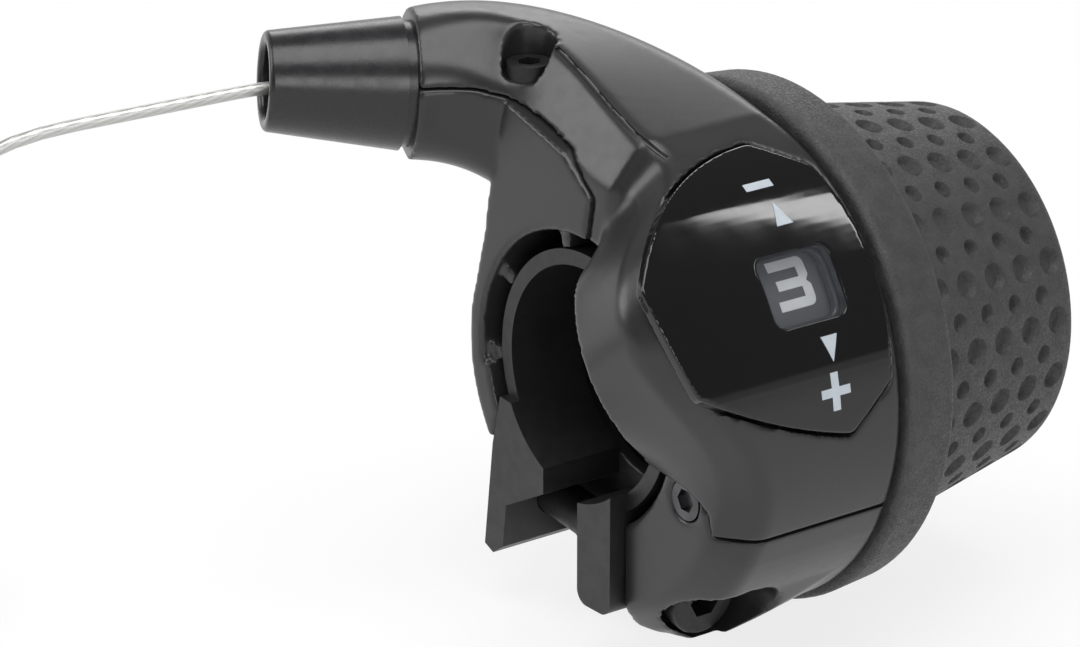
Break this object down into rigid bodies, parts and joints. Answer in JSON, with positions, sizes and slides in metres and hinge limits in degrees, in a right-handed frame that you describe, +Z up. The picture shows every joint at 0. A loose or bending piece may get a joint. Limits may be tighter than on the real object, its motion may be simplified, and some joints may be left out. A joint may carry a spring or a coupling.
{
  "type": "twist grip shifter",
  "caption": "Bicycle twist grip gear shifter with a dimpled rubber grip, a black number panel in a charcoal housing and a bare inner cable",
  "frame": {"origin": "on the handlebar's axis, at the inboard end of the clamp ring", "axes": "+X along the handlebar towards the grip's open end, +Z up, -Y towards the rider"},
  "size_m": [0.1157, 0.0929, 0.0571],
  "materials": {
    "housing_plastic": "satin charcoal moulding with a fine grain",
    "panel_plastic": "polished black",
    "window_lens": "smoked clear plastic",
    "clamp_metal": "black coated",
    "bolt_steel": "dark zinc plated",
    "screw_steel": "dark plated",
    "liner_plastic": "natural slippery plastic",
    "cable_steel": "bright stranded wire",
    "core_plastic": "plain black moulding",
    "grip_rubber": "matt dark grey with a fine grain",
    "number_plastic": "matt dark grey",
    "tie_plastic": "plain black"
  },
  "bodies": {
    "housing": {"base_housing": "housing_plastic", "hood_cover": "housing_plastic", "indicator_panel": "panel_plastic", "number_window": "window_lens", "clamp_band": "clamp_metal", "clamp_bolt": "bolt_steel", "clamp_nut": "bolt_steel", "cover_screw": "screw_steel", "neck_screw": "screw_steel", "cable_nose": "panel_plastic", "cable_liner": "liner_plastic", "inner_cable": "cable_steel", "detent_spring": "screw_steel", "cable_run": "cable_steel", "cable_coil": "cable_steel", "cable_tie": "tie_plastic"},
    "grip": {"twist_sleeve": "core_plastic", "rubber_grip": "grip_rubber", "winding_drum": "core_plastic", "number_ring": "number_plastic", "cable_nipple": "cable_steel", "cable_wrap": "cable_steel"}
  },
  "joints": [
    {"name": "grip_twist", "type": "hinge", "parent": "housing", "child": "grip", "pos_m": [0, 0, 0], "axis": [1, 0, 0], "range_deg": [-45, 0], "deforming": ["detent_spring"]}
  ]
}
